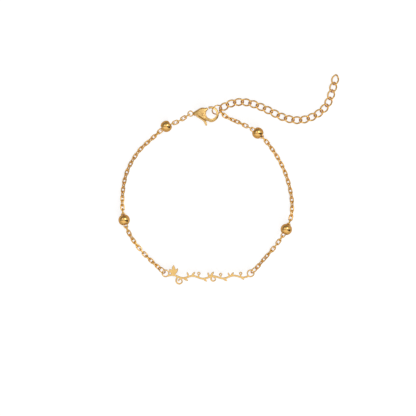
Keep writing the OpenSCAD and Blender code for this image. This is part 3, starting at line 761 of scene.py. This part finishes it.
def gold(name, tones, blur, blur_varies, hairlines, ripples, grain, painted_shade_at=None):
    """Gold whose tone, blur and relief follow noise on the place in metres. Grain is the size of a patch
    in mm. Hairlines are noise drawn out forty times along one heading, on two headings. Relief is
    hairlines * lines + ripples * patches, in mm. Where given, painted_shade_at says how much painted shade
    darkens each place, from 0 to 1."""
    material = bpy.data.materials.new(name)
    material.use_nodes = True
    tree = material.node_tree
    tree.nodes.clear()
    place = node(tree, "ShaderNodeTexCoord", output="Object")

    def noise(size, detail=3.0, stretch=(1, 1, 1), turn=0.0):
        """Noise from 0 to 1, whose patches are about size mm across."""
        lay = node(tree, "ShaderNodeMapping", None,
                   {"Vector": place, "Rotation": (0, 0, turn), "Scale": [share / MM for share in stretch]})
        return node(tree, "ShaderNodeTexNoise", None, {"Vector": lay, "Scale": 1 / size, "Detail": detail})

    patches, wisps = noise(grain), noise(grain / 6, 4.0)
    lines = noise(0.12, 2.0, (0.025, 1, 0.5), 0.5) + noise(0.12, 2.0, (1, 0.025, 0.5), 0.2)
    tone = node(tree, "ShaderNodeMapRange", {"clamp": True},
                {"Value": patches * 0.65 + wisps * 0.35, "From Min": 0.35, "From Max": 0.65})
    colour = blend(tree, tone, tones[1], tones[0])
    # Painted shade: where given, the colour is darkened towards brown where shade falls.
    if painted_shade_at:
        colour = blend(tree, painted_shade_at(tree, place), colour, PAINTED_SHADE_BROWN)
    rough = blur + blur_varies * (wisps - 0.5) + 0.5 * blur_varies * (lines - 1.0)
    relief = hairlines * lines + ripples * patches
    bump = node(tree, "ShaderNodeBump", None, {"Height": relief * MM, "Strength": 1.0, "Distance": 1.0})
    surface = node(tree, "ShaderNodeBsdfPrincipled", None,
                   {"Base Color": colour, "Metallic": 1.0, "Roughness": rough, "Specular Tint": EDGE_TINT,
                    "Normal": bump})
    node(tree, "ShaderNodeOutputMaterial", None, {"Surface": surface})
    return material


# %% Where painted shade darkens the metal
def painted_shade_in_bores(tree, place):
    """Painted shade in the beads' bores, where shade falls. It rises from 0 at 0.13 mm below a ball's skin
    to 1 at 0.32 mm. The depth is the greatest of radius - distance from the centre, over the balls."""
    depth = None
    for centre, radius in BALLS:
        away = node(tree, "ShaderNodeVectorMath", {"operation": "DISTANCE"}, {0: place, 1: centre},
                    output=1)
        inside = radius - away
        depth = inside if depth is None else maths(tree, "MAXIMUM", depth, inside)
    return rises(tree, depth, 0.13 * MM, 0.32 * MM)


def painted_shade_by_lever(tree, place):
    """A band of painted shade along the cheeks' straight edge, where the cheeks shade the lever, with its
    middle 0.08 mm beyond the edge. It is strongest, at 0.9, to 0.04 mm from its middle and gone at 0.2 mm,
    and it fades at both ends."""
    x, y = [node(tree, "ShaderNodeSeparateXYZ", None, {0: place}, output=axis) for axis in "XY"]
    a, b = [np.array(end) * MM + clasp_zero[:2] for end in CHEEK_EDGE]
    u, v = (b - a) / np.linalg.norm(b - a)
    along = (x - a[0]) * u + (y - a[1]) * v
    aside = size_of(tree, (x - a[0]) * v - (y - a[1]) * u - 0.08 * MM)
    ends = rises(tree, along, 0.3 * MM, 0.9 * MM) * (1 - rises(tree, along, 4.1 * MM, 4.5 * MM))
    return (1 - rises(tree, aside, 0.04 * MM, 0.2 * MM)) * ends * 0.9


# The brown inside the beads and beside the lever is painted shade.
print("tarnish inside", len(BALLS), "beads, and beside the lever")

# %% Gold in four finishes
LOOKS = {
    "plate_gold": dict(tones=PALE_GOLD, blur=0.16, blur_varies=0.1,
                       hairlines=0.004, ripples=0.02, grain=2.2),
    # The beads take painted shade in their bores.
    "bead_gold": dict(tones=WARM_GOLD, blur=0.07, blur_varies=0.05,
                      hairlines=0.001, ripples=0.004, grain=1.6, painted_shade_at=painted_shade_in_bores),
    "chain_gold": dict(tones=CHAIN_GOLD, blur=0.2, blur_varies=0.1,
                       hairlines=0.003, ripples=0.006, grain=0.8),
    # The clasp takes painted shade on the lever beside the cheeks.
    "clasp_gold": dict(tones=PALE_GOLD, blur=0.28, blur_varies=0.1,
                       hairlines=0.003, ripples=0.016, grain=1.8, painted_shade_at=painted_shade_by_lever),
}
finishes = {name: gold(name, **look) for name, look in LOOKS.items()}
print("finishes:", ", ".join(finishes))

# %% [markdown]
# Each new piece takes the finish of the slot that it was given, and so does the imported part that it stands
# for. Assigning by slot keeps all pieces of one finish alike.

# %% Put the finishes on
for piece, part, slot in DRESSED:
    piece.data.materials.append(finishes[slot])
    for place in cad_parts[part].material_slots:
        place.material = finishes[slot]
print("finished:", len(DRESSED), "pieces")

# %% [markdown]
# ## Table, light and camera
# Small bright metal is lit by a tent of white cloth, because the metal shows whatever stands round it.
# Lamps alone would leave it black between their highlights, and a tent of mesh would get in the way of
# other views. Here the world itself is the tent, as a function of direction: bright overhead, dimmer near
# the table and beyond the clasp. An open seam runs to each side and widens to the right, which polished
# balls show as a dark line with a dark spot. Two soft lamps add the highlights. A third lights the table
# from the front, low down, and the metal doesn't mirror it, so each bead mirrors a lit table in front and a
# dim one behind. The table is pale, yet the metal mirrors a darker one, or its edges would vanish.

# %% Table
TABLE, UNDER_PARTS = 1.6, 0.02 * MM
PAPER_SHADE, PAPER_GLOW, MIRRORED_SHADE = (0.3, 0.3, 0.3, 1), 0.78, (0.6, 0.54, 0.46, 1)
spots = np.array([[-1, -1, 0], [1, -1, 0], [1, 1, 0], [-1, 1, 0]]) * TABLE
table_mesh = bpy.data.meshes.new("table")
table_mesh.from_pydata(spots.tolist(), [], [(0, 1, 2, 3)])
table = bpy.data.objects.new("table", table_mesh)
table.location.z = cad_box[0][2] - UNDER_PARTS
bpy.context.scene.collection.objects.link(table)
print("table top at", round(table.location.z / MM, 2), "mm")

# %% White paper that the metal mirrors as a darker one
paper = bpy.data.materials.new("pale_paper")
paper.use_nodes = True
tree = paper.node_tree
tree.nodes.clear()
seen = node(tree, "ShaderNodeLightPath", output="Is Camera Ray")
pale = node(tree, "ShaderNodeBsdfDiffuse", None, {"Color": PAPER_SHADE})
glow = node(tree, "ShaderNodeEmission", None, {"Color": (1, 1, 1, 1), "Strength": PAPER_GLOW})
bright = node(tree, "ShaderNodeAddShader", None, {0: pale, 1: glow})
dim = node(tree, "ShaderNodeBsdfDiffuse", None, {"Color": MIRRORED_SHADE})
either = node(tree, "ShaderNodeMixShader", None, {0: seen, 1: dim, 2: bright})
node(tree, "ShaderNodeOutputMaterial", None, {"Surface": either})
table_mesh.materials.append(paper)
print("table paper:", len(tree.nodes), "nodes")

# %% The tent
world = bpy.data.worlds.new("tent")
bpy.context.scene.world = world
world.use_nodes = True
tree = world.node_tree
tree.nodes.clear()
direction = node(tree, "ShaderNodeTexCoord", output="Generated")
x, y, z = [node(tree, "ShaderNodeSeparateXYZ", None, {0: direction}, output=axis) for axis in "XYZ"]

# The cloth is brightest overhead, and darker towards the far side.
behind = rises(tree, y - 0.4 * x, 0.0, 0.85)
cloth = (0.56 + 0.45 * rises(tree, z, 0.05, 0.8)) * (1 - 0.66 * behind)
# The seam runs from left to right, a little in front of the middle. Towards the right it is wider and
# further in front. It is closed midway, and darkest on the right.
right = rises(tree, x, 0.0, 1.0)
off_seam = size_of(tree, y + 0.12 + 0.15 * right)
seam = 1 - rises(tree, off_seam, 0.05 + 0.18 * right, 0.14 + 0.2 * right)
seam = seam * rises(tree, size_of(tree, x), 0.05, 0.16)
darkness = 0.72 + 0.22 * rises(tree, x, 0.05, 0.5)
room = node(tree, "ShaderNodeBackground", None,
            {"Color": (1, 0.99, 0.975, 1), "Strength": cloth * (1 - seam * darkness)})
node(tree, "ShaderNodeOutputWorld", None, {"Surface": room})
print("tent:", len(tree.nodes), "nodes")


# %% Soft lamps
def soft_lamp(name, place, wide, deep, radiance, mirrored=True):
    """A panel that lights the bracelet's middle, and that the metal shows only where mirrored is true. Its
    power is radiance * pi * area."""
    lamp = bpy.data.lights.new(name, "AREA")
    lamp.shape, lamp.size, lamp.size_y = "RECTANGLE", wide, deep
    lamp.energy = radiance * np.pi * wide * deep
    panel = bpy.data.objects.new(name, lamp)
    panel.location = place
    panel.rotation_euler = Vector(place).to_track_quat("Z", "Y").to_euler()
    panel.visible_camera, panel.visible_glossy = False, mirrored
    bpy.context.scene.collection.objects.link(panel)
    print(f"{name}: {lamp.energy:.2f} W")


soft_lamp("lamp_at_the_right", (0.2, 0.21, 0.5), 0.2, 0.14, 5.0)
soft_lamp("lamp_at_the_left", (-0.25, 0.2, 0.45), 0.16, 0.16, 1.5)
soft_lamp("low_lamp_for_the_table", (0.2, -0.4, 0.22), 0.14, 0.14, 20.0, mirrored=False)

# %% [markdown]
# The camera looks straight down from 0.6 m. A lens sees 36 mm of film over its own length, so the length
# that makes the view 137.3 mm wide at 1.7 mm over the table follows from the distance. A flat camera would
# do as well from here, but a lens shows depth in views from the side. The plain view transform keeps the
# paper white and the gold bright, where Blender's usual one would grey both.

# %% Camera
HEIGHT, SCALE_Z, FILM = 0.6, 1.7 * MM, 36
VIEW_WIDE, VIEW_AT = 137.28 * MM, (-6.93 * MM, -9.54 * MM)
lens = bpy.data.cameras.new("camera")
lens.lens = FILM * (HEIGHT - SCALE_Z) / VIEW_WIDE
lens.clip_start = 0.01
camera = bpy.data.objects.new("camera", lens)
camera.location = (*VIEW_AT, HEIGHT)
bpy.context.scene.collection.objects.link(camera)
bpy.context.scene.camera = camera
bpy.context.scene.view_settings.view_transform = "Standard"
print("lens:", round(lens.lens, 1), "mm")

# %% [markdown]
# Last, the view layer is brought up to date.

# %% Finish
bpy.context.view_layer.update()
